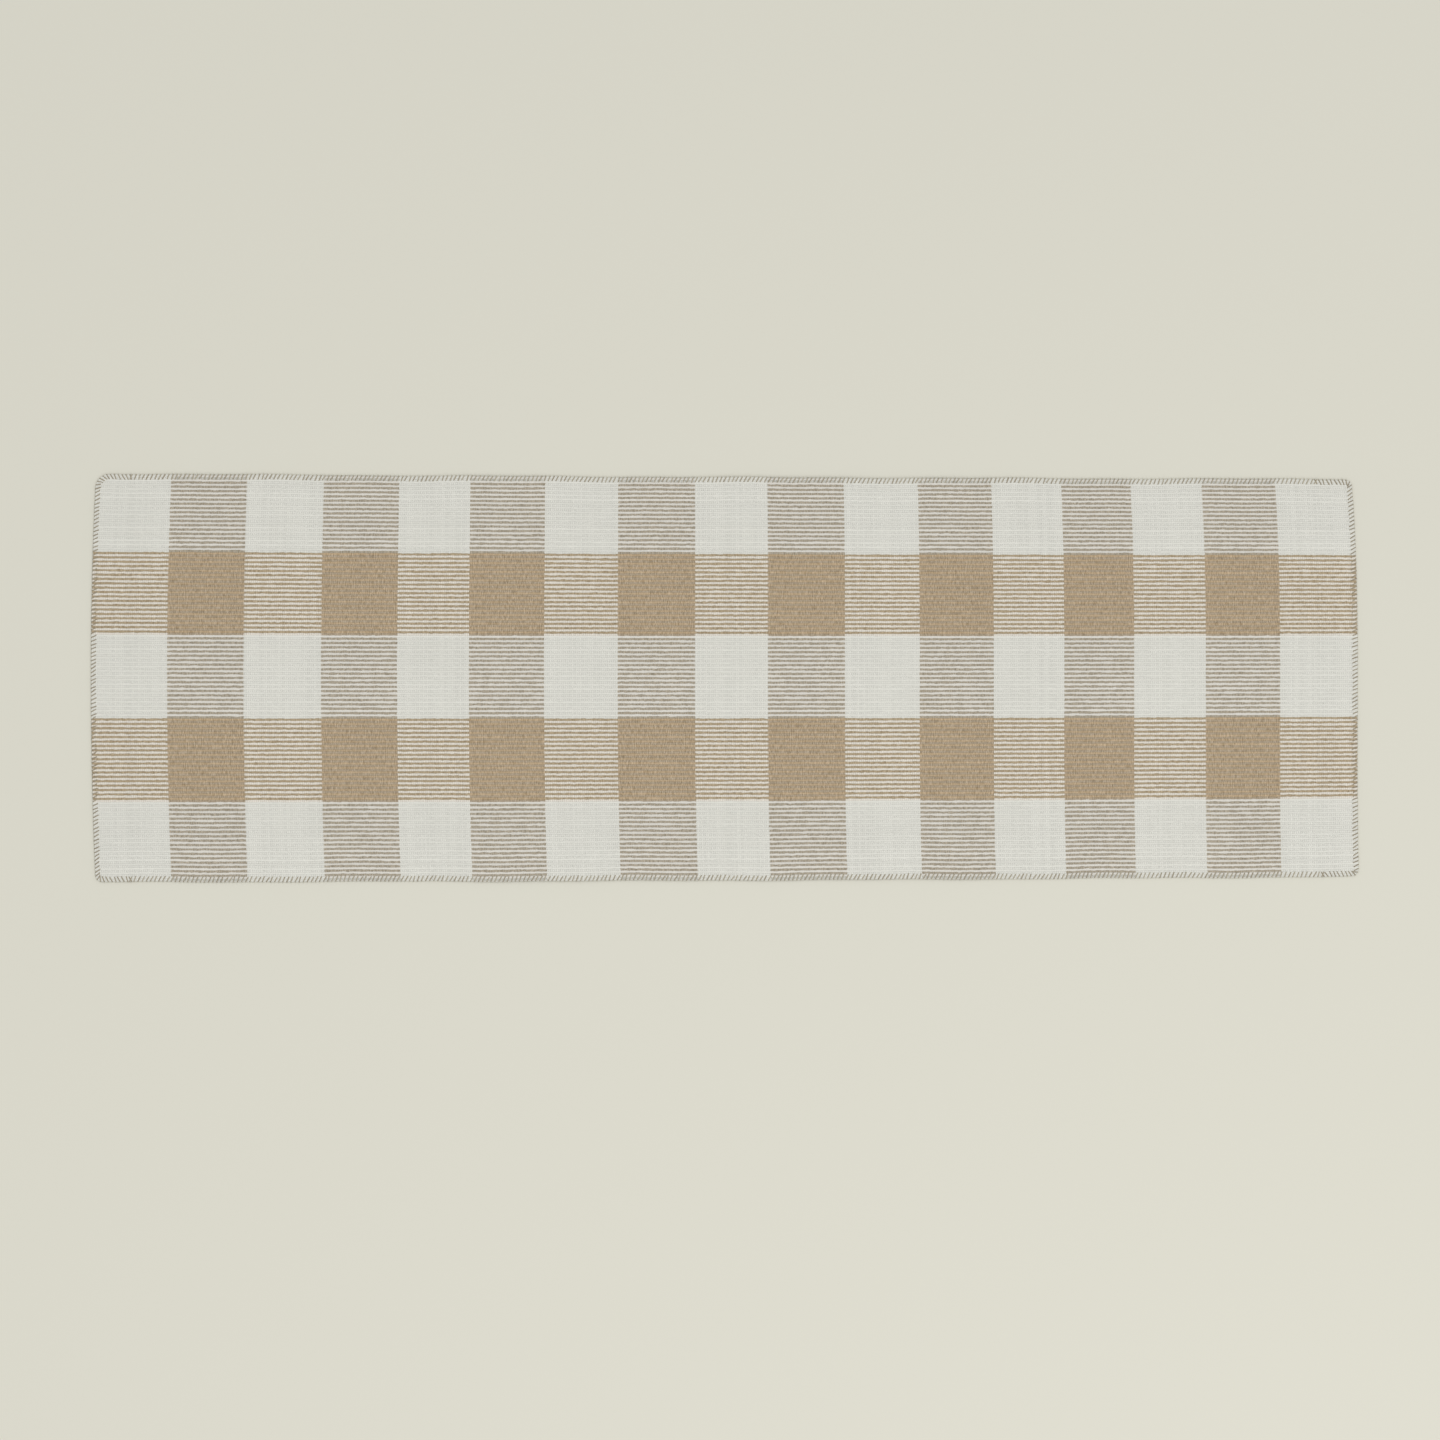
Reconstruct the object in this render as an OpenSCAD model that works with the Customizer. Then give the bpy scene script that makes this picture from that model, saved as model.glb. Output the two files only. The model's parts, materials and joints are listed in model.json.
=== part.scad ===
// Checked table runner, woven in two colours, with an overcast edge all round.
// Stout warp cords run along it. Each band of crosswise yarns is one wavy layer, which
// passes over one cord and under the next, so every other row shows the cord and the rows
// between show the crosswise yarns. A channel of thread grips the squeezed rim of the cloth.
// Both ends turn about a fold line: down over the end of a table, or back on top of the
// runner. X runs along the runner, Y across it and Z up. The origin is in the middle of
// the underside.

/* [Runner] */
// Finished length, end to end
runner_length = 1400; // [700:10:2400]
// Finished width, side to side
runner_width = 450; // [300:10:620]

/* [Cloth] */
// Distance from one warp cord to the next
cord_pitch = 2.41; // [1.8:0.01:4]
// Height of a warp cord
cord_height = 1.4; // [1:0.1:2.4]
// Thickness of the crosswise yarns where they pass over or under a cord
weft_thickness = 0.6; // [0.3:0.1:1]
// Thickness of the crosswise yarns between two cords
weft_wall = 0.4; // [0.2:0.05:0.6]

/* [Check] */
// Width of a tan band that runs across the runner
tan_column = 82.5; // [50:0.5:110]
// Width of a natural band that runs across, between two tan ones
natural_column = 81; // [50:0.5:110]
// Warp cords in a tan band that runs along the runner
tan_cords = 38; // [20:2:50]
// Warp cords in a natural band that runs along, between two tan ones
natural_cords = 38; // [20:2:50]
// Narrowest natural margin at an edge, below which a tan band is left out
least_margin = 30; // [20:1:40]

/* [Overcast edge] */
// How far the overcast stitches reach in from the edge
overcast_width = 6; // [3:0.5:12]
// Thickness of the overcasting thread as it lies on the cloth
overcast_thread = 0.4; // [0.2:0.05:0.6]
// Space between the cloth's outline and the overcasting round it
thread_slack = 0.2; // [0.1:0.05:0.4]
// Radius of the stitches' inner line at a corner
inner_corner = 2; // [0.5:0.5:8]

/* [Hanging ends] */
// Number of bands in each end that hangs over the table
drop_bands = 2; // [1:1:2]
// Space between a folded end and the cloth that it lies on or hangs beside
fold_clearance = 0.4; // [0.2:0.1:1]

/* [Hidden] */
$fn = 48;
natural_colour = "#e4e0d4";
tan_colour = "#a8977f";
thread_colour = "#9c927f";

cloth_thickness = cord_height + weft_thickness;
// The overcasting thread squeezes the rim, so that its faces are flush with the cloth's.
rim_thickness = cloth_thickness - 2 * overcast_thread;
corner_radius = overcast_width + inner_corner;

// How many tan bands fit between two natural margins
function tan_bands(size, tan, natural) =
    floor((size + natural - 2 * least_margin) / (tan + natural));
// Distance across the tan bands and the natural bands between them
function inner_span(count, tan, natural) = count * tan + (count - 1) * natural;
// How much of that lies before band k, where band 0 is the margin
function before_band(k, tan, natural) =
    let (inner = k - 1) ceil(inner / 2) * tan + floor(inner / 2) * natural;

tan_columns = tan_bands(runner_length, tan_column, natural_column);
columns = 2 * tan_columns + 1;
inner_length = inner_span(tan_columns, tan_column, natural_column);
function column_start(k) =
    k == 0 ? -runner_length / 2 :
    k == columns ? runner_length / 2 :
    before_band(k, tan_column, natural_column) - inner_length / 2;

// How far the full cloth and its squeezed rim stay inside the runner's outline
core_inset = overcast_width + thread_slack;
rim_inset = overcast_thread + thread_slack;
// The warp cords stop short of the edge, and the crosswise yarns turn round the last one.
warp_half_length = runner_length / 2 - core_inset - weft_thickness;
warp_room = runner_width / 2 - core_inset - weft_thickness;
tan_rows = tan_bands(runner_width, tan_cords * cord_pitch, natural_cords * cord_pitch);
rows = 2 * tan_rows + 1;
inner_cords = inner_span(tan_rows, tan_cords, natural_cords);
margin_cords = floor((warp_room - inner_cords * cord_pitch / 2) / cord_pitch);
cords = inner_cords + 2 * margin_cords;
function cord_start(i) = (i - cords / 2) * cord_pitch;
function first_cord(k) =
    k == 0 ? 0 :
    k == rows ? cords :
    margin_cords + before_band(k, tan_cords, natural_cords);
// Cords with an even number show on the upper face, and the others underneath.
function shows(i) = i % 2 == 0;

// The fold axes lie just above the top face. An end then turns through half a turn on top
// and a quarter turn below without touching the cloth beside it.
fold_height = cloth_thickness + fold_clearance / 2;
fold_gap = 2 * (cloth_thickness + fold_clearance);
right_fold = column_start(columns - drop_bands);
left_fold = column_start(drop_bands);

ZONES = ["left", "centre", "right"];
SIDES = ["front", "back"];
function zone_start(zone, end) =
    zone == "left" ? end : (zone == "centre" ? left_fold : right_fold) + fold_gap / 2;
function zone_end(zone, end) =
    zone == "right" ? end : (zone == "centre" ? right_fold : left_fold) - fold_gap / 2;

function colour_word(k) = k % 2 == 0 ? "natural" : "tan";
function weft_name(k) = str("weft_", k < 9 ? "0" : "", k + 1, "_", colour_word(k));
function warp_name(k, zone) = str("warp_", k + 1, "_", colour_word(k), "_", zone);
function side_name(side, zone) = str("overcast_", side, "_", zone);
function end_name(end) = str("overcast_", end, "_end");
function corner_name(side, end) = str("overcast_corner_", side, "_", end);
ENDS = ["left", "right"];

function yarn_colour(k) = k % 2 == 0 ? natural_colour : tan_colour;

// A rectangle about the origin with true round corners
module rounded_rectangle(length, width, radius) {
    square([length - 2 * radius, width], center = true);
    square([length, width - 2 * radius], center = true);
    for (x = [-1, 1], y = [-1, 1])
        translate([x * (length / 2 - radius), y * (width / 2 - radius)]) circle(radius);
}

// The outline of the runner, drawn in by a margin
module outline(inset) {
    rounded_rectangle(runner_length - 2 * inset, runner_width - 2 * inset, corner_radius - inset);
}

// The whole cloth without its overcasting: full thickness inside, squeezed at the rim
module cloth_body() {
    linear_extrude(cloth_thickness) outline(core_inset);
    translate([0, 0, overcast_thread]) linear_extrude(rim_thickness) outline(rim_inset);
}

// A box between two corners
module block(low, high) {
    translate(low) cube(high - low);
}

// Section across a crosswise band: a wave over and under the cords, with a rim at each side
module weft_section() {
    core = runner_width / 2 - core_inset;
    lip = runner_width / 2 - rim_inset;
    top = cloth_thickness;
    groove = weft_wall / 2;
    rim = [[core, top], [core, top - overcast_thread], [lip, top - overcast_thread],
           [lip, overcast_thread], [core, overcast_thread], [core, 0]];
    upper = [for (i = [0 : cords - 1]) if (shows(i))
        let (low = cord_start(i) + groove, high = cord_start(i + 1) - groove)
        each [[low, top], [low, weft_thickness], [high, weft_thickness], [high, top]]];
    lower = [for (i = [cords - 1 : -1 : 0]) if (!shows(i))
        let (low = cord_start(i) + groove, high = cord_start(i + 1) - groove)
        each [[high, 0], [high, cord_height], [low, cord_height], [low, 0]]];
    left_rim = [for (i = [len(rim) - 1 : -1 : 0]) [-rim[i].x, rim[i].y]];
    polygon(concat(upper, rim, lower, left_rim));
}

// The cloth past the ends of the warp cords, with its rounded corners
module weft_end(k) {
    far = runner_length;
    inner_x = warp_half_length;
    intersection() {
        cloth_body();
        if (k == 0) block([-far, -far, -far], [-inner_x, far, far]);
        else block([inner_x, -far, -far], [far, far, far]);
    }
}

// One crosswise band: a wavy layer round every warp cord that passes through it
module weft_band(k) {
    at_left_fold = k == drop_bands || k == columns - drop_bands;
    at_right_fold = k + 1 == drop_bands || k + 1 == columns - drop_bands;
    start = max(column_start(k), -warp_half_length) + (at_left_fold ? fold_gap / 2 : 0);
    end = min(column_start(k + 1), warp_half_length) - (at_right_fold ? fold_gap / 2 : 0);
    color(yarn_colour(k)) {
        translate([start, 0, 0]) rotate([90, 0, 90]) linear_extrude(end - start) weft_section();
        if (k == 0 || k == columns - 1) weft_end(k);
    }
}

// One band of warp cords, between the fold lines that bound its zone
module warp_band(k, zone) {
    start = zone_start(zone, -warp_half_length);
    end = zone_end(zone, warp_half_length);
    groove = weft_wall / 2;
    color(yarn_colour(k)) for (i = [first_cord(k) : first_cord(k + 1) - 1])
        translate([0, 0, shows(i) ? weft_thickness : 0]) block(
            [start, cord_start(i) + groove, 0],
            [end, cord_start(i + 1) - groove, cord_height]
        );
}

// Section of the overcasting: a channel with its back on X = 0, which opens towards -X
module channel_section() {
    difference() {
        translate([-overcast_width, 0]) square([overcast_width, cloth_thickness]);
        translate([-overcast_width, overcast_thread])
            square([overcast_width - overcast_thread, rim_thickness]);
    }
}

// A straight length of overcasting along the back side, from start to end
module side_channel(start, end) {
    translate([start, runner_width / 2, 0])
        rotate([90, 0, 90]) linear_extrude(end - start) channel_section();
}

module overcast_side(side, zone) {
    start = zone_start(zone, -runner_length / 2 + corner_radius);
    end = zone_end(zone, runner_length / 2 - corner_radius);
    color(thread_colour) mirror([0, side == "front" ? 1 : 0, 0]) side_channel(start, end);
}

module overcast_end(end) {
    span = runner_width - 2 * corner_radius;
    color(thread_colour) mirror([end == "left" ? 1 : 0, 0, 0])
        translate([runner_length / 2, span / 2, 0])
        rotate([90, 0, 0]) linear_extrude(span) channel_section();
}

module overcast_corner(side, end) {
    color(thread_colour)
        mirror([end == "left" ? 1 : 0, 0, 0]) mirror([0, side == "front" ? 1 : 0, 0])
        translate([runner_length / 2 - corner_radius, runner_width / 2 - corner_radius, 0])
        rotate_extrude(angle = 90) translate([corner_radius, 0]) channel_section();
}

for (k = [0 : columns - 1])
    weft_band(k);
for (k = [0 : rows - 1], zone = ZONES)
    warp_band(k, zone);
for (side = SIDES, zone = ZONES)
    overcast_side(side, zone);
for (end = ENDS)
    overcast_end(end);
for (side = SIDES, end = ENDS)
    overcast_corner(side, end);
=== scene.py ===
"""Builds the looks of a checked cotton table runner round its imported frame.

The cloth is a ribbed weave: warp cords run along it and bands of weft yarn cross them. An
overlocked edge runs all round it. All measures are in metres, with X along the runner,
Y across it and Z up.
"""

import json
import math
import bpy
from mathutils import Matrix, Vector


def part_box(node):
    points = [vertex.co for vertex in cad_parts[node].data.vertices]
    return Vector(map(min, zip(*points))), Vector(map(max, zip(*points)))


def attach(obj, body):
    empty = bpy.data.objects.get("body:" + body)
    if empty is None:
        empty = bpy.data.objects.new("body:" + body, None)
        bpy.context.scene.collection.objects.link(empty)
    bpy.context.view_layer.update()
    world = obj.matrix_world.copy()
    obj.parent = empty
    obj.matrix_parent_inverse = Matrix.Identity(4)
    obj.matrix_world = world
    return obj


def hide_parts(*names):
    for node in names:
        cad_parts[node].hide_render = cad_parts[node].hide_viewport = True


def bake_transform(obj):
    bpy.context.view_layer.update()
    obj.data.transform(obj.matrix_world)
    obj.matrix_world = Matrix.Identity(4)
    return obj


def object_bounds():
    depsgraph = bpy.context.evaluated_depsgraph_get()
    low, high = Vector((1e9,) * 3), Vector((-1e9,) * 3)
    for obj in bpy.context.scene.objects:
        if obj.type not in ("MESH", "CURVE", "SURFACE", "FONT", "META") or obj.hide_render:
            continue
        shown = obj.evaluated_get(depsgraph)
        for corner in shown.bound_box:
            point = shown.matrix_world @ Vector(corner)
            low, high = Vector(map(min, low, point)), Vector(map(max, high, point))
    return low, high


bl_info = {
    "name": "Checked Table Runner",
    "version": (1, 0, 0),
    "blender": (4, 5, 0),
    "location": "View3D > Sidebar > Runner",
    "description": "Makes the woven cloth, the overlocked edge and the stage of a table runner",
    "category": "Object",
}

from types import SimpleNamespace

import bpy
import numpy as np
from bpy.props import FloatProperty, FloatVectorProperty, IntProperty, PointerProperty
from bpy.types import Operator, Panel, PropertyGroup

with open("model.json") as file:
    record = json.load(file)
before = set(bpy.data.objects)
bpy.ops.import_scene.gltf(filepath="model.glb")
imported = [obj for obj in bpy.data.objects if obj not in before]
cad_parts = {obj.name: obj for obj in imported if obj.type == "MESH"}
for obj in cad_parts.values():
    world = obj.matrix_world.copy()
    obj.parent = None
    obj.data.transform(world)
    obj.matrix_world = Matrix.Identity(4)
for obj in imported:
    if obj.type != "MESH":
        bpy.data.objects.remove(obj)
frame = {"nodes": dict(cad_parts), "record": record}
CAD_BOX = [list(corner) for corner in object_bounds()]

MM = 0.001
HALF_LENGTH = CAD_BOX[1][0]
HALF_WIDTH = CAD_BOX[1][1]
THICKNESS = CAD_BOX[1][2] - CAD_BOX[0][2]
FOLDS = {joint["child"]: joint for joint in frame["record"]["behaviour"]["joints"]}
FOLD_X = abs(FOLDS["left_drop"]["pos_m"][0])

# Each end's length of cloth reaches past its fold line by this much, so no join lies within this
# distance of the fold.
PAST_FOLD = 25 * MM
# Half the length of the middle one of the centre's three lengths of cloth
MIDDLE_REACH = 168 * MM
# Beyond the end of the runner, on whichever side the sign gives
FAR = 1.0

# The piece of edge round each end goes on along both sides for this far.
END_TURN = 40 * MM
# How far the studio floor reaches from its middle
FLOOR_REACH = 30.0

# The back left corner is cut rounder than the other three.
ROUND_CORNER = 16 * MM
SHARP_CORNER = 7.5 * MM

# Distances in from the edge: the round lip ends at LIP, and the rim that the stitches squeeze
# swells to full thickness between RIM and RIM_END.
LIP = 0.8 * MM
RIM = 4.6 * MM
RIM_END = 6.8 * MM

# Where the bands across the runner begin and end as woven, and how many millimetres each of
# those lines has drifted to the right, as measured on the middle of the runner.
BAND_EDGES = np.cumsum(
    [-HALF_LENGTH, 86.5 * MM] + [82.5 * MM, 81 * MM] * 7 + [82.5 * MM, 86.5 * MM]
)
BAND_DRIFT = np.array(
    [1.3, -1.2, 0.7, 5.4, 6.8, 5.0, 5.8, 6.0, 8.9, 8.6, 10.9, 12.5, 12.0, 8.9, 3.5, 1.7, 1.1, 0.2]
)

# Painted highlight and painted shade, with some greying, on the yarns where only one of the two
# that cross is tan: natural yarn, then tan yarn
PAINTED_LIGHT_BESIDE_TAN_CORD = ((1.065, 1.02, 1.0, 1), (0.86, 0.905, 0.93, 1))
PAINTED_LIGHT_BESIDE_TAN_PICK = ((0.957, 0.928, 0.924, 1), (0.945, 0.992, 1.023, 1))
WHITE = (1, 1, 1, 1)


def linear(hex_colour):
    """Turns an sRGB hex colour into linear red, green and blue."""
    values = [int(hex_colour[i : i + 2], 16) / 255 for i in (1, 3, 5)]
    return tuple(v / 12.92 if v <= 0.04045 else ((v + 0.055) / 1.055) ** 2.4 for v in values)


class RunnerCloth(PropertyGroup):
    """Sizes and colours of the woven cloth."""

    cord_pitch: FloatProperty(
        name="Cord Pitch",
        description="Distance from one warp cord to the next",
        default=2.41 * MM,
        unit="LENGTH",
        precision=5,
    )
    cord_count: IntProperty(
        name="Cords", description="Warp cords between the overlocked edges", default=180
    )
    cords_in_band: IntProperty(
        name="Cords in a Band", description="Warp cords in each band along the runner", default=38
    )
    tan_band: FloatProperty(
        name="Tan Band",
        description="Width of a tan band across the runner",
        default=82.5 * MM,
        unit="LENGTH",
        precision=5,
    )
    natural_band: FloatProperty(
        name="Natural Band",
        description="Width of a natural band across the runner",
        default=81 * MM,
        unit="LENGTH",
        precision=5,
    )
    pick_pitch: FloatProperty(
        name="Pick Pitch",
        description="Distance from one weft yarn to the next",
        default=2.2 * MM,
        unit="LENGTH",
        precision=5,
    )
    rib_depth: FloatProperty(
        name="Rib Depth",
        description="Depth of the groove between two ribs",
        default=0.5 * MM,
        unit="LENGTH",
        precision=5,
    )
    ripple: FloatProperty(
        name="Ripple",
        description="How far the middle of the cloth lifts off the table",
        default=0.9 * MM,
        unit="LENGTH",
        precision=5,
    )
    natural: FloatVectorProperty(
        name="Natural Cotton",
        description="Colour of the undyed yarn",
        subtype="COLOR",
        default=linear("#DFDED5"),
        min=0,
        max=1,
    )
    tan_cord: FloatVectorProperty(
        name="Tan Cord",
        description="Colour of the dyed warp cords",
        subtype="COLOR",
        default=linear("#B7A182"),
        min=0,
        max=1,
    )
    tan_pick: FloatVectorProperty(
        name="Tan Weft",
        description="Colour of the dyed weft yarns, a little greyer than the cords",
        subtype="COLOR",
        default=linear("#AC9D87"),
        min=0,
        max=1,
    )


class RunnerEdge(PropertyGroup):
    """Sizes and colours of the overlocked edge."""

    side_pitch: FloatProperty(
        name="Side Pitch",
        description="Distance between two stitches on the long sides",
        default=4.5 * MM,
        unit="LENGTH",
        precision=5,
    )
    end_pitch: FloatProperty(
        name="End Pitch",
        description="Distance between two stitches on the short ends",
        default=4.3 * MM,
        unit="LENGTH",
        precision=5,
    )
    reach: FloatProperty(
        name="Reach",
        description="How far the stitches reach in from the edge",
        default=5.6 * MM,
        unit="LENGTH",
        precision=5,
    )
    lean: FloatProperty(
        name="Lean",
        description="How far a stitch travels along the edge as it crosses to it",
        default=2.6 * MM,
        unit="LENGTH",
        precision=5,
    )
    thread_width: FloatProperty(
        name="Thread Width",
        description="Width of the flattened thread",
        default=1.4 * MM,
        unit="LENGTH",
        precision=5,
    )
    thread_height: FloatProperty(
        name="Thread Height",
        description="Thickness of the flattened thread",
        default=0.5 * MM,
        unit="LENGTH",
        precision=5,
    )
    thread: FloatVectorProperty(
        name="Thread",
        description="Colour of the overlock thread",
        subtype="COLOR",
        default=linear("#A8A18E"),
        min=0,
        max=1,
    )
    end_thread: FloatVectorProperty(
        name="End Thread",
        description="Colour of the overlock thread on the short ends",
        subtype="COLOR",
        default=linear("#99917E"),
        min=0,
        max=1,
    )


class RunnerStage(PropertyGroup):
    """Floor, light and camera."""

    floor: FloatVectorProperty(
        name="Floor",
        description="Colour of the studio floor",
        subtype="COLOR",
        default=linear("#DAD8CB"),
        min=0,
        max=1,
    )
    fill: FloatProperty(
        name="Fill Light", description="Strength of the light from all round", default=0.715
    )
    key: FloatProperty(
        name="Key Light", description="Strength of the soft light from above", default=0.62
    )
    side: FloatProperty(
        name="Side Light",
        description="Power of the large lamp at the front right, in watts",
        default=26,
    )
    camera_height: FloatProperty(
        name="Camera Height",
        description="Height of the camera over the floor",
        default=3.757,
        unit="LENGTH",
    )


# ---------------------------------------------------------------- nodes


def add_node(tree, kind, inputs=None, **settings):
    """Adds a node, sets its properties, and sets or links its inputs."""
    node = tree.nodes.new(kind)
    for name, value in settings.items():
        setattr(node, name, value)
    for key, value in (inputs or {}).items():
        if isinstance(value, bpy.types.NodeSocket):
            tree.links.new(value, node.inputs[key])
        else:
            node.inputs[key].default_value = value
    return node


def calc(tree, operation, *values):
    """Result of a Math node."""
    node = add_node(tree, "ShaderNodeMath", dict(enumerate(values)), operation=operation)
    return node.outputs[0]


def vector_calc(tree, operation, *values):
    """Result of a Vector Math node that gives a vector."""
    node = add_node(tree, "ShaderNodeVectorMath", dict(enumerate(values)), operation=operation)
    return node.outputs[0]


def scaled(tree, vector, scale):
    """A vector or colour times a number."""
    inputs = {0: vector, "Scale": scale}
    return add_node(tree, "ShaderNodeVectorMath", inputs, operation="SCALE").outputs[0]


def mixed_colour(tree, amount, first, second):
    """The first colour where the amount is 0, and the second where it is 1."""
    inputs = {0: amount, 6: first, 7: second}
    return add_node(tree, "ShaderNodeMix", inputs, data_type="RGBA").outputs[2]


def mixed_number(tree, amount, first, second):
    """The first number where the amount is 0, and the second where it is 1."""
    inputs = {0: amount, 2: first, 3: second}
    return add_node(tree, "ShaderNodeMix", inputs, data_type="FLOAT").outputs[0]


def spread(tree, value, low, high, start=0.0, end=1.0):
    """Goes from low to high as the value goes from start to end, and stays within them."""
    inputs = {"Value": value, "From Min": start, "From Max": end, "To Min": low, "To Max": high}
    return add_node(tree, "ShaderNodeMapRange", inputs).outputs[0]


def noise(tree, place, scale, detail=2, roughness=0.5, dimensions="2D"):
    """A noise texture node."""
    inputs = {"Vector": place, "Scale": scale, "Detail": detail, "Roughness": roughness}
    return add_node(tree, "ShaderNodeTexNoise", inputs, noise_dimensions=dimensions)


def bumped(tree, height, distance, strength):
    """Normals of a surface with a relief on it."""
    inputs = {"Height": height, "Distance": distance, "Strength": strength}
    return add_node(tree, "ShaderNodeBump", inputs).outputs[0]


def empty_material(name):
    """A new material and its empty node tree."""
    material = bpy.data.materials.new(name)
    material.use_nodes = True
    material.node_tree.nodes.clear()
    return material, material.node_tree


def set_surface(tree, inputs):
    """Ends a material's tree with a Principled shader."""
    shader = add_node(tree, "ShaderNodeBsdfPrincipled", inputs).outputs[0]
    add_node(tree, "ShaderNodeOutputMaterial", {"Surface": shader})


# ---------------------------------------------------------------- how the cloth lies


def smooth_step(low, high, value):
    """Goes smoothly from 0 at low to 1 at high."""
    t = np.clip((value - low) / (high - low), 0, 1)
    return t * t * (3 - 2 * t)


def corner_radius(u, v):
    """Radius of the nearest corner."""
    return np.where((u < 0) & (v > 0), ROUND_CORNER, SHARP_CORNER)


def lay(u, v, ripple):
    """Where a point of the cloth comes to lie: its x, its y and its lift off the table.

    u and v are the point's measures along and across the cloth as it was woven. The bands
    drift along the runner, they bow towards its corners, and it narrows to the right. The
    numbers of the bow, the shift and the narrowing are millimetres at an end or a side.
    """
    s = u / HALF_LENGTH
    q = v / HALF_WIDTH
    bow = (1.3 - 4.1 * s) * q**2 - (1.9 + 2.2 * s) * q**3
    x = u + (np.interp(u, BAND_EDGES, BAND_DRIFT) + bow) * MM
    sway = 0.45 * np.sin(23 * u + 1) + 0.3 * np.sin(61 * u + 4 * v)
    shift = 1.3 + 0.2 * s + s**2
    narrow = -(1.1 + 3.3 * s) * q - (1.7 + 0.2 * s) * q**2 + (sway + 0.2 * s - 1.5) * q**3
    y = v + (shift + narrow) * MM

    # A low ripple in the middle, which dies out from 0.24 m to 0.34 m towards each end
    middle = 1 - smooth_step(0.24, 0.34, np.abs(u))
    waves = np.sin(17 * u + 5 * v) + np.sin(11 * u - 9 * v + 1.7) + np.sin(24 * v + 3 * u)
    lift = ripple * middle * (0.5 + waves / 6)
    return x, y, lift


def along_stations(start, end):
    """Places along the runner for rows of vertices, closer at the folds and the ends."""
    near_end = HALF_LENGTH - np.array([0, 0.3, 0.8, 1.6, 2.8, 4.5, 7, 11, 16]) * MM
    near_fold = FOLD_X + np.arange(-9, 9.1, 0.75) * MM
    coarse = np.arange(-85, 86) * 8 * MM
    coarse = coarse[np.abs(np.abs(coarse) - FOLD_X) > 11 * MM]
    coarse = coarse[np.abs(coarse) < HALF_LENGTH - 19 * MM]
    every = np.concatenate([coarse, near_end, -near_end, near_fold, -near_fold, [start, end]])
    every = np.unique(np.round(every, 6))
    return every[(every >= start - 1e-7) & (every <= end + 1e-7)]


def across_stations(cord_pitch):
    """Places across the runner: four to each rib, and two more at each edge."""
    step = cord_pitch / 4
    count = int((HALF_WIDTH - LIP) / step)
    inner = np.arange(-count, count + 1) * step
    edge = HALF_WIDTH - np.array([0.3, 0]) * MM
    return np.concatenate([-edge[::-1], inner, edge])


def round_corners(u, v):
    """Closes the outermost ribs up towards the straight end, round each corner.

    Returns the new place across, and the distance of each point from the cloth's outline.
    """
    radius = corner_radius(u, v)
    from_end = HALF_LENGTH - np.abs(u)
    dip = np.clip(radius - from_end, 0, radius)
    half = HALF_WIDTH - radius + np.sqrt(np.maximum(radius**2 - dip**2, (0.05 * radius) ** 2))
    straight = HALF_WIDTH - radius
    beyond = np.clip(np.abs(v) - straight, 0, None)
    v = np.sign(v) * (np.minimum(np.abs(v), straight) + beyond * (half - straight) / radius)
    return v, np.minimum(from_end, half - np.abs(v))


def ribbed(u, v, from_edge, cloth):
    """Half the thickness of the cloth at each point, and how far its cord strays sideways."""
    # The stitches squeeze the rim, whose lip is round.
    lip = np.sqrt(1 - (1 - np.clip(from_edge / LIP, 0, 1)) ** 2)
    plump = smooth_step(RIM, RIM_END, from_edge)
    body = lip * (0.6 + 0.4 * plump) * THICKNESS / 2

    # Each cord stands at its own height and wanders a little. No cord's number reaches 400.
    random = np.random.RandomState(11)
    cords = v / cloth.cord_pitch + 200
    cord = np.floor(cords + 1e-4).astype(int)
    phase = cords - cord
    crown = np.clip(1 - np.abs(2 * phase - 1) ** 2.2, 0, 1)
    phases = random.uniform(0, 2 * math.pi, (2, 400))[:, cord]
    lengths = random.uniform(90, 240, (2, 400))[:, cord]
    wander = np.sin(lengths[0] * u + phases[0]) + 0.7 * np.sin(lengths[1] * u + phases[1])
    groove = cloth.rib_depth * (1 - crown * (0.92 + 0.05 * wander)) * (0.2 + 0.8 * plump)
    return np.maximum(body - groove * lip, 0), 0.09 * MM * wander * plump


def both_faces(upper, under):
    """One row of values round the shell: along the upper face, and back underneath."""
    return np.concatenate([upper, under[:, ::-1]], axis=1)


def shell_faces(rows, columns):
    """Faces of a closed shell of rows of vertices: those round it, and its two cut faces."""
    ring = 2 * columns
    i = np.arange(rows - 1)[:, None] * ring
    j = np.arange(ring)[None, :]
    k = (j + 1) % ring
    round_it = np.stack([i + j, i + ring + j, i + ring + k, i + k], -1).reshape(-1, 4)
    a = np.arange(columns - 1)
    first = np.stack([a, a + 1, ring - 2 - a, ring - 1 - a], -1)
    last = first[:, ::-1] + (rows - 1) * ring
    return round_it, np.concatenate([first, last])


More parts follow.
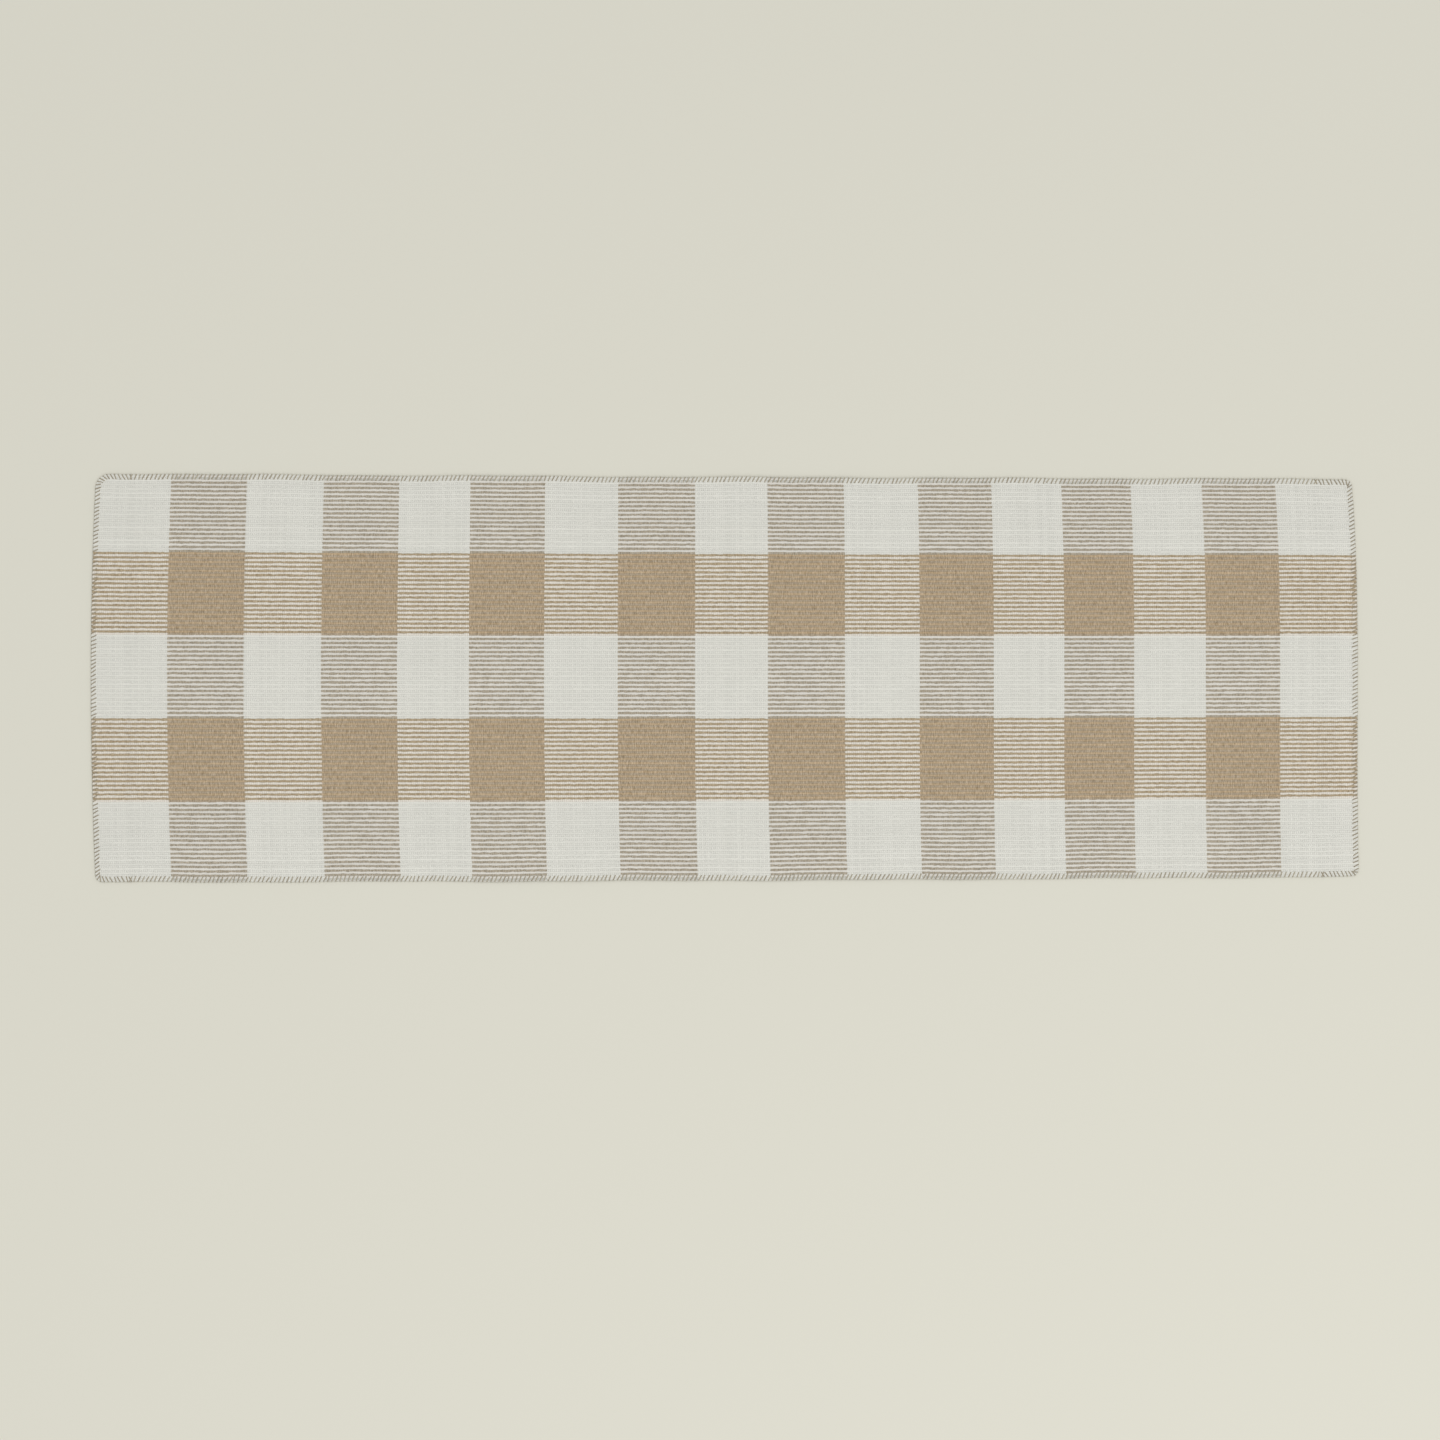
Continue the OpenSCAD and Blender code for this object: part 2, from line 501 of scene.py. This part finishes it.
def cloth_mesh(name, start, end, cloth):
    """One length of the cloth as a closed shell with ribs on both faces."""
    u = along_stations(start, end)[:, None]
    v = across_stations(cloth.cord_pitch)[None, :]
    rows, columns = u.shape[0], v.shape[1]
    u, v = np.broadcast_to(u, (rows, columns)), np.broadcast_to(v, (rows, columns))
    v, from_edge = round_corners(u, v)
    half, stray = ribbed(u, v, from_edge, cloth)
    x, y, lift = lay(u, v, cloth.ripple)
    y = y + stray
    middle = THICKNESS / 2 + lift

    ring = 2 * columns
    upper, under = np.stack([x, y, middle + half], -1), np.stack([x, y, middle - half], -1)
    places = both_faces(upper, under)
    woven = np.stack([u, v], -1)
    weave = both_faces(woven, woven)
    underside = both_faces(np.zeros((rows, columns)), np.ones((rows, columns)))

    shell, cut_faces = shell_faces(rows, columns)
    faces = np.concatenate([shell, cut_faces])
    smooth = np.arange(len(faces)) < len(shell)
    mesh = bpy.data.meshes.new(name)
    mesh.vertices.add(rows * ring)
    mesh.vertices.foreach_set("co", places.astype(np.float32).ravel())
    mesh.loops.add(faces.size)
    mesh.loops.foreach_set("vertex_index", faces.astype(np.int32).ravel())
    mesh.polygons.add(len(faces))
    mesh.polygons.foreach_set("loop_start", np.arange(0, faces.size, 4, dtype=np.int32))
    mesh.update(calc_edges=True)
    mesh.polygons.foreach_set("use_smooth", smooth)
    layer = mesh.uv_layers.new(name="Weave")
    layer.uv.foreach_set("vector", weave.reshape(-1, 2)[faces.ravel()].astype(np.float32).ravel())
    side = mesh.attributes.new("underside", "FLOAT", "POINT")
    side.data.foreach_set("value", underside.astype(np.float32).ravel())
    mark_cut_edges(mesh, rows, ring)
    mesh.validate()
    return mesh


def mark_cut_edges(mesh, rows, ring):
    """Keeps the shading of a length's two cut faces apart from the cloth's faces."""
    ends = np.empty(len(mesh.edges) * 2, np.int32)
    mesh.edges.foreach_get("vertices", ends)
    row = ends.reshape(-1, 2) // ring
    cut = (row[:, 0] == row[:, 1]) & ((row[:, 0] == 0) | (row[:, 0] == rows - 1))
    mark = mesh.attributes.new("sharp_edge", "BOOLEAN", "EDGE")
    mark.data.foreach_set("value", cut)


# ---------------------------------------------------------------- materials


def yarn_lines(tree, cloth):
    """Which cord and which pick lie at a point, and where the point is on each of them."""
    uv = add_node(tree, "ShaderNodeUVMap", uv_map="Weave").outputs[0]
    under = add_node(tree, "ShaderNodeAttribute", attribute_name="underside").outputs["Fac"]

    # Hand of the loom: each line of yarn strays about 0.3 mm from its course every 6 mm.
    stretched = vector_calc(tree, "MULTIPLY", uv, (1, 2.4, 1))
    stray = noise(tree, stretched, 170).outputs["Color"]
    centred = vector_calc(tree, "SUBTRACT", stray, (0.5, 0.5, 0.5))
    strayed = vector_calc(tree, "MULTIPLY_ADD", centred, (1.6 * MM, 1.5 * MM, 0), uv)
    place = add_node(tree, "ShaderNodeSeparateXYZ", {0: strayed})
    along, across = place.outputs["X"], place.outputs["Y"]

    # Ribs, counted from the front edge. Even ones show the cord on the upper face.
    ribs = calc(tree, "MULTIPLY_ADD", across, 1 / cloth.cord_pitch, cloth.cord_count / 2)
    rib = calc(tree, "FLOOR", ribs)
    odd = calc(tree, "FLOORED_MODULO", calc(tree, "ADD", rib, under), 2.0)

    # Picks: the weft yarns, counted along the runner.
    picks = calc(tree, "MULTIPLY", along, 1 / cloth.pick_pitch)

    return SimpleNamespace(
        uv=uv,
        strayed=strayed,
        along=along,
        across=across,
        rib=rib,
        rib_phase=calc(tree, "FRACT", ribs),
        cord_shows=calc(tree, "LESS_THAN", odd, 0.5),
        picks=picks,
        pick=calc(tree, "FLOOR", picks),
        pick_phase=calc(tree, "FRACT", picks),
    )


def tan_yarns(tree, lines, cloth):
    """Says, with 0 or 1, whether the cord at a point is tan, and whether the pick is."""
    # Along the runner, in whole cords on each side of the middle
    from_middle = calc(tree, "SUBTRACT", lines.rib, cloth.cord_count / 2 - 0.5)
    cords_out = calc(tree, "ABSOLUTE", from_middle)
    in_band = float(cloth.cords_in_band)
    tan_cord = calc(tree, "COMPARE", cords_out, in_band, in_band / 2)

    # Across the runner, up to the natural band at each end
    repeat = cloth.tan_band + cloth.natural_band
    last_tan = int((HALF_LENGTH + cloth.natural_band) / repeat) * repeat - cloth.natural_band / 2
    kept = calc(tree, "MINIMUM", calc(tree, "ABSOLUTE", lines.along), last_tan + 1 * MM)
    shifted = calc(tree, "ADD", kept, cloth.natural_band / 2)
    in_repeat = calc(tree, "MODULO", shifted, repeat)
    return tan_cord, calc(tree, "GREATER_THAN", in_repeat, cloth.natural_band)


def dyed_yarn(tree, lines, tan_cord, tan_pick, peep, cloth):
    """Colour of the yarn that shows at a point, before any shade."""
    # Each yarn took the dye, or the bleaching, a little differently.
    tones = [
        add_node(tree, "ShaderNodeTexWhiteNoise", {"W": number}, noise_dimensions="1D").outputs[0]
        for number in (lines.rib, lines.pick)
    ]
    cord_scale = spread(tree, tones[0], 0.965, 1.035)
    pick_scale = spread(tree, tones[1], 0.95, 1.05)

    # Along the long sides the picks turn round pale cords, under the stitches.
    off_middle = calc(tree, "ABSOLUTE", lines.across)
    dyed = spread(tree, off_middle, 1.0, 0.45, HALF_WIDTH - 6.5 * MM, HALF_WIDTH - 5 * MM)
    pick_dyed = calc(tree, "MULTIPLY", tan_pick, dyed)

    natural = (*cloth.natural, 1)
    cord_dye = mixed_colour(tree, tan_cord, natural, (*cloth.tan_cord, 1))
    pick_dye = mixed_colour(tree, pick_dyed, natural, (*cloth.tan_pick, 1))
    cord_colour = scaled(tree, cord_dye, cord_scale)
    pick_colour = scaled(tree, pick_dye, pick_scale)
    beads = mixed_colour(tree, peep, pick_colour, cord_colour)
    return mixed_colour(tree, lines.cord_shows, beads, cord_colour)


def painted_meeting_light(tree, tan_cord, tan_pick, dark_yarn):
    """Painted highlight and painted shade on the yarns where the two colours meet rib by rib.

    There the crests of the pale yarn get a painted highlight, and the dark yarn that sinks between
    them gets painted shade and is greyed by their fibres.
    """
    one_is_tan = calc(tree, "ABSOLUTE", calc(tree, "SUBTRACT", tan_cord, tan_pick))
    # Painted highlight and painted shade where only one of the two yarns is tan
    painted_light_beside_cord = mixed_colour(tree, dark_yarn, *PAINTED_LIGHT_BESIDE_TAN_CORD)
    painted_light_beside_pick = mixed_colour(tree, dark_yarn, *PAINTED_LIGHT_BESIDE_TAN_PICK)
    painted_light_tint = mixed_colour(tree, tan_pick, painted_light_beside_cord, painted_light_beside_pick)
    return mixed_colour(tree, one_is_tan, WHITE, painted_light_tint)


def yarn_relief(tree, lines, bead_edge):
    """Height of the yarn's surface, from 0 to 1.

    The ply of the cords slants, 2.1 mm to a turn. On the weft ribs there are beads, each of
    two strands side by side.
    """
    inputs = {0: lines.strayed, 1: (3000, 2300, 0)}
    slant = add_node(tree, "ShaderNodeVectorMath", inputs, operation="DOT_PRODUCT")
    turns = calc(tree, "SINE", slant.outputs["Value"])
    ply_height = calc(tree, "MULTIPLY_ADD", turns, 0.3, 0.7)
    strand = calc(tree, "COSINE", calc(tree, "MULTIPLY", lines.picks, 4 * math.pi))
    strand_height = calc(tree, "MULTIPLY_ADD", strand, -0.2, 0.8)
    bead_height = calc(tree, "MULTIPLY_ADD", bead_edge, -0.8, strand_height)
    return mixed_number(tree, lines.cord_shows, bead_height, ply_height)


def woven_cotton(cloth):
    """Matt ring-spun cotton in a rib weave.

    Cotton scatters light with a faint sheen of loose fibres. Warp cords show on every other
    rib, and the short floats of the weft yarns show as beads on the ribs between.
    """
    material, tree = empty_material("Woven cotton, natural and tan")
    lines = yarn_lines(tree, cloth)
    tan_cord, tan_pick = tan_yarns(tree, lines, cloth)

    # Beads: a weft float is round, and the cord below peeps out between two of them.
    off_bead = calc(tree, "MULTIPLY_ADD", lines.pick_phase, 2.0, -1.0)
    bead_edge = calc(tree, "POWER", off_bead, 4.0)
    off_crown = calc(tree, "MULTIPLY_ADD", lines.rib_phase, 2.0, -1.0)
    rib_edge = calc(tree, "POWER", off_crown, 4.0)
    peep = calc(tree, "MULTIPLY", bead_edge, 0.35)
    yarn = dyed_yarn(tree, lines, tan_cord, tan_pick, peep, cloth)

    # Painted shade: the colour is darkened in the grooves between ribs and between floats.
    pick_shows = calc(tree, "SUBTRACT", 1.0, lines.cord_shows)
    bead_groove = calc(tree, "MULTIPLY", bead_edge, pick_shows)
    grooves = calc(tree, "MULTIPLY_ADD", bead_groove, 0.8, rib_edge)
    shade = calc(tree, "MULTIPLY_ADD", grooves, -0.14, 1.0)

    dark_yarn = mixed_number(tree, lines.cord_shows, tan_pick, tan_cord)
    # Painted highlight and painted shade where the two colours meet rib by rib
    painted_light_tint = painted_meeting_light(tree, tan_cord, tan_pick, dark_yarn)
    yarn = vector_calc(tree, "MULTIPLY", yarn, painted_light_tint)

    # Slubs and handling: faint clouds about 40 mm across, and flecks of about 1 mm by 6 mm,
    # which run with the weft and show more on the dyed yarn.
    upright = vector_calc(tree, "MULTIPLY", lines.uv, (3.2, 0.7, 1))
    cloud = noise(tree, lines.uv, 25, 3, 0.6).outputs["Fac"]
    fleck = noise(tree, upright, 250, 2, 0.7).outputs["Fac"]
    fleck_depth = calc(tree, "MULTIPLY_ADD", dark_yarn, 0.7, 0.12)
    off_fleck = calc(tree, "SUBTRACT", fleck, 0.5)
    fleck_scale = calc(tree, "MULTIPLY_ADD", off_fleck, fleck_depth, 1.0)
    mottle = calc(tree, "MULTIPLY", spread(tree, cloud, 0.97, 1.03), fleck_scale)
    toned = scaled(tree, yarn, calc(tree, "MULTIPLY", shade, mottle))
    pale_fleck = calc(tree, "MULTIPLY", off_fleck, dark_yarn)
    colour = vector_calc(tree, "MULTIPLY_ADD", pale_fleck, (0.18, 0.18, 0.18), toned)

    height = calc(tree, "MULTIPLY_ADD", fleck, 0.6, yarn_relief(tree, lines, bead_edge))
    set_surface(
        tree,
        {
            "Base Color": colour,
            "Roughness": 0.92,
            "IOR": 1.5,
            "Specular IOR Level": 0.25,
            "Sheen Weight": 0.08,
            "Sheen Roughness": 0.6,
            "Normal": bumped(tree, height, 0.3 * MM, 0.8),
        },
    )
    return material


def overlock_thread(name, thread):
    """Spun polyester thread, woolly and matt, in lengths that took the dye unevenly."""
    material, tree = empty_material(name)
    place = add_node(tree, "ShaderNodeTexCoord").outputs["Object"]
    tone = add_node(tree, "ShaderNodeAttribute", attribute_name="tone").outputs["Fac"]
    dye = noise(tree, place, 18, dimensions="3D").outputs["Fac"]
    # Fibres of about 0.7 mm, drawn coarser than the real ones so that they show.
    fibre = noise(tree, place, 1500, dimensions="3D").outputs["Fac"]
    light = tuple(min(c * 1.22, 1) for c in thread)
    dark = (thread[0] * 0.84, thread[1] * 0.78, thread[2] * 0.74)
    dye_share = calc(tree, "MULTIPLY_ADD", dye, 0.8, -0.15)
    amount = calc(tree, "MULTIPLY_ADD", tone, 0.6, dye_share)
    colour = mixed_colour(tree, amount, (*dark, 1), (*light, 1))
    set_surface(
        tree,
        {
            "Base Color": scaled(tree, colour, spread(tree, fibre, 0.82, 1.16)),
            "Roughness": 0.85,
            "IOR": 1.5,
            "Specular IOR Level": 0.3,
            "Sheen Weight": 0.1,
            "Sheen Roughness": 0.5,
            "Normal": bumped(tree, fibre, 0.15 * MM, 0.6),
        },
    )
    return material


def studio_paper(stage):
    """Seamless matt background paper, smooth and even."""
    material, tree = empty_material("Background paper, warm pale grey")
    place = add_node(tree, "ShaderNodeTexCoord").outputs["Object"]
    grain = noise(tree, place, 900, dimensions="3D").outputs["Fac"]
    set_surface(
        tree,
        {
            "Base Color": (*stage.floor, 1),
            "Roughness": 0.95,
            "Specular IOR Level": 0.1,
            "Normal": bumped(tree, grain, 0.02 * MM, 0.2),
        },
    )
    return material


# ---------------------------------------------------------------- overlock stitches


def loop_of_thread(tree, given):
    """One loop: a ring whose top strand crosses to the edge and whose lower strand comes back."""
    ring = add_node(tree, "GeometryNodeMeshCircle", {"Vertices": 10, "Radius": 1.0}).outputs[0]
    at = add_node(tree, "GeometryNodeInputPosition").outputs[0]
    split = add_node(tree, "ShaderNodeSeparateXYZ", {0: at})
    inward = spread(tree, split.outputs["X"], 0.0, 1.0, -0.8, 0.8)
    upward = spread(tree, split.outputs["Y"], 0.0, 1.0, -0.58, 0.58)
    centred_in = calc(tree, "SUBTRACT", inward, 0.5)
    centred_up = calc(tree, "SUBTRACT", upward, 0.5)
    loop_height = calc(tree, "SUBTRACT", given["Cloth"], given["Thread Height"])
    x = calc(tree, "MULTIPLY", centred_in, given["Lean"])
    y = calc(tree, "MULTIPLY", inward, given["Reach"])
    z = calc(tree, "MULTIPLY", centred_up, loop_height)
    shape = add_node(tree, "ShaderNodeCombineXYZ", {0: x, 1: y, 2: z}).outputs[0]
    bent = add_node(
        tree, "GeometryNodeSetPosition", {"Geometry": ring, "Position": shape}
    ).outputs[0]
    course = add_node(tree, "GeometryNodeMeshToCurve", {"Mesh": bent}).outputs[0]
    section = add_node(
        tree, "GeometryNodeCurvePrimitiveCircle", {"Resolution": 5, "Radius": 0.5}
    ).outputs[0]
    flat = add_node(
        tree, "ShaderNodeCombineXYZ", {0: given["Thread Width"], 1: given["Thread Height"], 2: 1.0}
    ).outputs[0]
    section = add_node(
        tree, "GeometryNodeTransform", {"Geometry": section, "Scale": flat}
    ).outputs[0]
    return add_node(
        tree, "GeometryNodeCurveToMesh", {"Curve": course, "Profile Curve": section}
    ).outputs[0]


def random_vector(tree, low, high, seed):
    """A random vector for each stitch."""
    inputs = {0: low, 1: high, "Seed": seed}
    return add_node(tree, "FunctionNodeRandomValue", inputs, data_type="FLOAT_VECTOR").outputs[0]


def stitch_tree():
    """Geometry nodes that set a slanting loop of flat thread at each stitch of a path."""
    tree = bpy.data.node_groups.new("Overlock stitches", "GeometryNodeTree")
    sockets = tree.interface
    sockets.new_socket(name="Path", in_out="INPUT", socket_type="NodeSocketGeometry")
    for name in ("Pitch", "Reach", "Lean", "Cloth", "Thread Width", "Thread Height"):
        sockets.new_socket(name=name, in_out="INPUT", socket_type="NodeSocketFloat")
    sockets.new_socket(name="Seed", in_out="INPUT", socket_type="NodeSocketInt")
    sockets.new_socket(name="Material", in_out="INPUT", socket_type="NodeSocketMaterial")
    sockets.new_socket(name="Stitches", in_out="OUTPUT", socket_type="NodeSocketGeometry")
    given = add_node(tree, "NodeGroupInput").outputs
    loop = loop_of_thread(tree, given)

    # A stitch at every pitch, turned to the path, each a little different.
    path = add_node(tree, "GeometryNodeMeshToCurve", {"Mesh": given["Path"]}).outputs[0]
    points = add_node(
        tree, "GeometryNodeCurveToPoints", {"Curve": path, "Length": given["Pitch"]}, mode="LENGTH"
    )
    heading = add_node(
        tree,
        "FunctionNodeAlignRotationToVector",
        {"Vector": points.outputs["Tangent"]},
        axis="X",
        pivot_axis="Z",
    ).outputs[0]
    wobble = random_vector(tree, (0, 0, -0.13), (0, 0, 0.13), given["Seed"])
    turned = add_node(
        tree, "FunctionNodeRotateRotation", {0: heading, 1: wobble}, rotation_space="LOCAL"
    ).outputs[0]
    size = random_vector(tree, (0.9, 0.88, 1), (1.15, 1.06, 1), given["Seed"])
    placed = add_node(
        tree,
        "GeometryNodeInstanceOnPoints",
        {"Points": points.outputs["Points"], "Instance": loop, "Rotation": turned, "Scale": size},
    ).outputs[0]
    tone = add_node(
        tree, "FunctionNodeRandomValue", {"Seed": given["Seed"]}, data_type="FLOAT"
    ).outputs[1]
    toned = add_node(
        tree,
        "GeometryNodeStoreNamedAttribute",
        {"Geometry": placed, "Name": "tone", "Value": tone},
        data_type="FLOAT",
        domain="INSTANCE",
    ).outputs[0]
    real = add_node(tree, "GeometryNodeRealizeInstances", {0: toned}).outputs[0]
    smooth = add_node(tree, "GeometryNodeSetShadeSmooth", {0: real}).outputs[0]
    finished = add_node(
        tree, "GeometryNodeSetMaterial", {"Geometry": smooth, "Material": given["Material"]}
    ).outputs[0]
    add_node(tree, "NodeGroupOutput", {0: finished})
    return tree


def side_paths(start, end):
    """Straight runs along the back and front sides, with the cloth on the left hand."""
    count = int((end - start) / (3 * MM))
    back = np.linspace(end, start, count), np.full(count, HALF_WIDTH)
    front = np.linspace(start, end, count), np.full(count, -HALF_WIDTH)
    return [back, front]


def end_path(sign):
    """Round one short end and its two corners, with the cloth on the left hand."""
    arcs = []
    for v_sign in (-sign, sign):
        radius = float(corner_radius(sign, v_sign))
        turn = np.linspace(0, math.pi / 2, 12)
        arc_u = sign * (HALF_LENGTH - radius) + sign * radius * np.cos(turn)
        arc_v = v_sign * (HALF_WIDTH - radius) + v_sign * radius * np.sin(turn)
        arcs.append((arc_u, arc_v))
    near_u, near_v = arcs[0][0][::-1], arcs[0][1][::-1]
    far_u, far_v = arcs[1]
    straight_v = np.linspace(near_v[-1], sign * (HALF_WIDTH - ROUND_CORNER), 120)
    straight_u = np.full(120, sign * HALF_LENGTH)
    tail = sign * (HALF_LENGTH - END_TURN)
    u = np.concatenate([[tail], near_u, straight_u, far_u, [tail]])
    v = np.concatenate([[-sign * HALF_WIDTH], near_v, straight_v, far_v, [sign * HALF_WIDTH]])
    return u, v


def stitched_edge(name, paths, pitch, lean, material, seed, tree, scene):
    """Sews one piece of the edge along its paths and returns it as a plain mesh."""
    edge = scene.runner_edge
    vertices, edges = [], []
    for u, v in paths:
        x, y, lift = lay(u, v, scene.runner_cloth.ripple)
        first = len(vertices)
        vertices += list(zip(x.tolist(), y.tolist(), (lift + THICKNESS / 2).tolist()))
        edges += [(i, i + 1) for i in range(first, len(vertices) - 1)]
    mesh = bpy.data.meshes.new(name + "_path")
    mesh.from_pydata(vertices, edges, [])
    piece = bpy.data.objects.new(name, mesh)
    scene.collection.objects.link(piece)
    modifier = piece.modifiers.new("Stitches", "NODES")
    modifier.node_group = tree
    values = {
        "Pitch": pitch,
        "Reach": edge.reach,
        "Lean": lean,
        "Cloth": THICKNESS,
        "Thread Width": edge.thread_width,
        "Thread Height": edge.thread_height,
        "Seed": seed,
        "Material": material,
    }
    for socket in tree.interface.items_tree:
        if socket.item_type == "SOCKET" and socket.name in values:
            modifier[socket.identifier] = values[socket.name]
    bpy.context.view_layer.update()
    depsgraph = bpy.context.evaluated_depsgraph_get()
    sewn = bpy.data.meshes.new_from_object(piece.evaluated_get(depsgraph))
    sewn.name = name
    piece.modifiers.remove(modifier)
    piece.data = sewn
    bpy.data.meshes.remove(mesh)
    return piece


# ---------------------------------------------------------------- pieces and bodies


def hang(piece, body, crosses_fold):
    """Joins a piece to one body, or, where it crosses the fold next to an end, only bakes its
    place into its mesh and joins it to no body.
    """
    if not crosses_fold:
        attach(piece, body)
        return
    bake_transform(piece)


def cloth_nodes(start, end):
    """Names of the weft and warp nodes whose middle lies in a stretch of the runner."""
    names = []
    for name in frame["nodes"]:
        low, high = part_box(name)
        if name.startswith(("weft", "warp")) and start <= (low[0] + high[0]) / 2 < end:
            names.append(name)
    return names


def overcast_nodes(word, at_end):
    """Names of a body's overcasting nodes: those round its end, or those along its sides."""
    names = [name for name in frame["nodes"] if name.startswith("overcast") and word in name]
    return [name for name in names if ("_corner_" in name or name.endswith("_end")) == at_end]


# ---------------------------------------------------------------- lights


def add_light(scene, name, kind, settings, turn, location=(0, 0, 0)):
    """Adds a light, sets its properties, and turns it by three angles in degrees."""
    light = bpy.data.lights.new(name, kind)
    for key, value in settings.items():
        setattr(light, key, value)
    holder = bpy.data.objects.new(name, light)
    holder.location = location
    holder.rotation_euler = [math.radians(angle) for angle in turn]
    scene.collection.objects.link(holder)


# ---------------------------------------------------------------- operators


class RUNNER_OT_edge(Operator):
    """Sews the overlocked edge along both sides and round both ends."""

    bl_idname = "runner.edge"
    bl_label = "Overlocked Edge"

    def execute(self, context):
        scene = context.scene
        edge = scene.runner_edge
        tree = stitch_tree()
        taupe = overlock_thread("Spun polyester thread, taupe", edge.thread)
        dark_taupe = overlock_thread("Spun polyester thread, dark taupe", edge.end_thread)
        inner, outer = FOLD_X - PAST_FOLD, HALF_LENGTH - END_TURN
        pieces = (
            ("edge_left_end", "left_drop", [end_path(-1)]),
            ("edge_right_end", "right_drop", [end_path(1)]),
            ("edge_left_sides", "left_drop", side_paths(-outer, -inner)),
            ("edge_right_sides", "right_drop", side_paths(inner, outer)),
            ("edge_centre_sides", "centre", side_paths(-inner, inner)),
        )
        for seed, (name, body, paths) in enumerate(pieces):
            # The ends were sewn from the other side, so their stitches lean the other way.
            at_end = name.endswith("_end")
            pitch = edge.end_pitch if at_end else edge.side_pitch
            lean, material = (-edge.lean, dark_taupe) if at_end else (edge.lean, taupe)
            piece = stitched_edge(name, paths, pitch, lean, material, seed, tree, scene)
            hang(piece, body, crosses_fold=body != "centre" and not at_end)
            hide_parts(*overcast_nodes(body.split("_")[0], at_end))
        return {"FINISHED"}


class RUNNER_OT_cloth(Operator):
    """Weaves the cloth in five lengths: two at the ends, and three in the middle."""

    bl_idname = "runner.cloth"
    bl_label = "Woven Cloth"

    def execute(self, context):
        scene = context.scene
        cloth = scene.runner_cloth
        material = woven_cotton(cloth)
        inner, third = FOLD_X - PAST_FOLD, MIDDLE_REACH
        # Name, body, where it starts and ends, and the stretch whose nodes it stands for
        lengths = (
            ("cloth_left_end", "left_drop", -HALF_LENGTH, -inner, -FAR, -FOLD_X),
            ("cloth_centre_left", "centre", -inner, -third, -FOLD_X, -third),
            ("cloth_centre_middle", "centre", -third, third, -third, third),
            ("cloth_centre_right", "centre", third, inner, third, FOLD_X),
            ("cloth_right_end", "right_drop", inner, HALF_LENGTH, FOLD_X, FAR),
        )
        for name, body, start, end, low, high in lengths:
            piece = bpy.data.objects.new(name, cloth_mesh(name, start, end, cloth))
            scene.collection.objects.link(piece)
            piece.data.materials.append(material)
            hang(piece, body, crosses_fold=body != "centre")
            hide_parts(*cloth_nodes(low, high))
        return {"FINISHED"}


class RUNNER_OT_stage(Operator):
    """Lays the floor, sets the soft lights and hangs the camera over the runner."""

    bl_idname = "runner.stage"
    bl_label = "Stage"

    def execute(self, context):
        scene = context.scene
        stage = scene.runner_stage
        mesh = bpy.data.meshes.new("floor")
        quarters = ((-1, -1), (1, -1), (1, 1), (-1, 1))
        corners = [(x * FLOOR_REACH, y * FLOOR_REACH, 0) for x, y in quarters]
        mesh.from_pydata(corners, [], [(0, 1, 2, 3)])
        mesh.materials.append(studio_paper(stage))
        floor = bpy.data.objects.new("floor", mesh)
        scene.collection.objects.link(floor)

        world = bpy.data.worlds.new("Studio")
        scene.world = world
        world.use_nodes = True
        background = world.node_tree.nodes["Background"]
        background.inputs["Color"].default_value = WHITE
        background.inputs["Strength"].default_value = stage.fill

        sun = {"energy": stage.key, "angle": math.radians(40)}
        add_light(scene, "key", "SUN", sun, turn=(-32, 14, 0))
        lamp = {"energy": stage.side, "shape": "SQUARE", "size": 2.4}
        add_light(scene, "side", "AREA", lamp, turn=(42, 0, 24), location=(1.1, -2.4, 2.6))

        lens = bpy.data.cameras.new("camera")
        lens.lens = 85
        lens.sensor_width = 36
        camera = bpy.data.objects.new("camera", lens)
        camera.location = (-0.004, -0.046, stage.camera_height)
        scene.collection.objects.link(camera)
        scene.camera = camera
        scene.view_settings.view_transform = "Standard"
        return {"FINISHED"}


class VIEW3D_PT_runner(Panel):
    """Lists the runner's settings and what makes each piece."""

    bl_label = "Table Runner"
    bl_space_type = "VIEW_3D"
    bl_region_type = "UI"
    bl_category = "Runner"

    def draw(self, context):
        scene = context.scene
        for settings, operator in (
            (scene.runner_edge, RUNNER_OT_edge),
            (scene.runner_cloth, RUNNER_OT_cloth),
            (scene.runner_stage, RUNNER_OT_stage),
        ):
            box = self.layout.box()
            for name in settings.bl_rna.properties.keys():
                if name not in ("rna_type", "name"):
                    box.prop(settings, name)
            box.operator(operator.bl_idname)


CLASSES = (
    RunnerCloth,
    RunnerEdge,
    RunnerStage,
    RUNNER_OT_edge,
    RUNNER_OT_cloth,
    RUNNER_OT_stage,
    VIEW3D_PT_runner,
)


def register():
    for cls in CLASSES:
        bpy.utils.register_class(cls)
    bpy.types.Scene.runner_cloth = PointerProperty(type=RunnerCloth)
    bpy.types.Scene.runner_edge = PointerProperty(type=RunnerEdge)
    bpy.types.Scene.runner_stage = PointerProperty(type=RunnerStage)


def unregister():
    for name in ("runner_cloth", "runner_edge", "runner_stage"):
        delattr(bpy.types.Scene, name)
    for cls in reversed(CLASSES):
        bpy.utils.unregister_class(cls)


def main():
    register()
    bpy.ops.runner.edge()
    bpy.ops.runner.cloth()
    bpy.ops.runner.stage()


if __name__ == "__main__":
    main()
